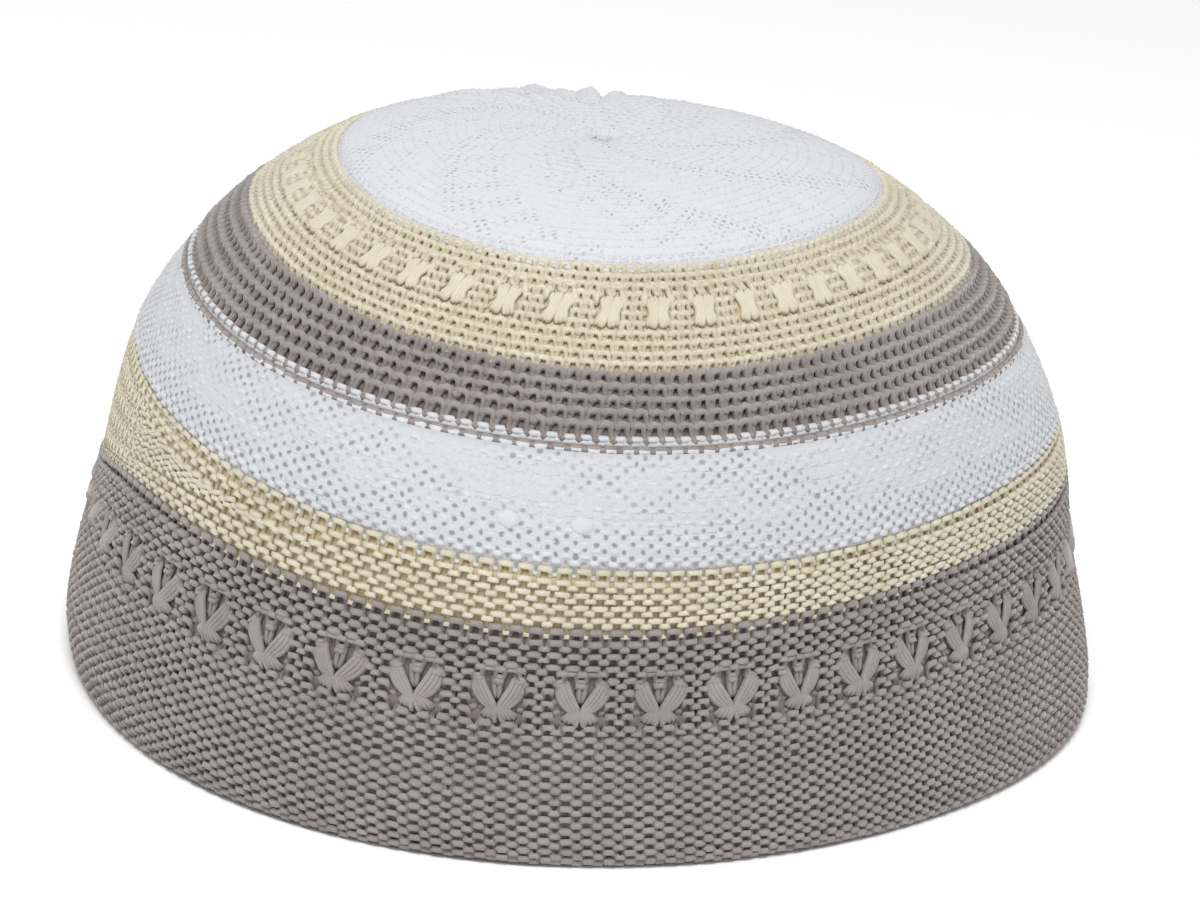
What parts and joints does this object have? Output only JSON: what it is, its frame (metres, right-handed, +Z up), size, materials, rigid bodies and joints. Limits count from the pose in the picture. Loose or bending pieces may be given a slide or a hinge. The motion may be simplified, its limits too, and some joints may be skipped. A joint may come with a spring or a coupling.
{
  "type": "prayer cap",
  "caption": "Soft knitted prayer cap: a round dome of coloured bands with butterfly stitches, standing on a doubled hem, hollow for the head.",
  "frame": {"origin": "middle of the hem's underside, on the surface that the cap stands on", "axes": "+Z up through the middle of the crown, -Y to the cap's front, +X to the side away from the short rows"},
  "size_m": [0.191, 0.1964, 0.101],
  "materials": {
    "taupe_yarn": "matt knitted yarn, warm grey",
    "cream_yarn": "matt knitted yarn, pale cream",
    "white_yarn": "matt knitted yarn, cool white"
  },
  "bodies": {
    "root": {"hem": "taupe_yarn", "butterfly_band": "taupe_yarn", "lower_cream_band": "cream_yarn", "white_side_band": "white_yarn", "grey_line": "taupe_yarn", "white_line": "white_yarn", "upper_grey_band": "taupe_yarn", "upper_cream_band": "cream_yarn", "crown": "white_yarn", "crown_tie": "white_yarn"}
  },
  "joints": []
}
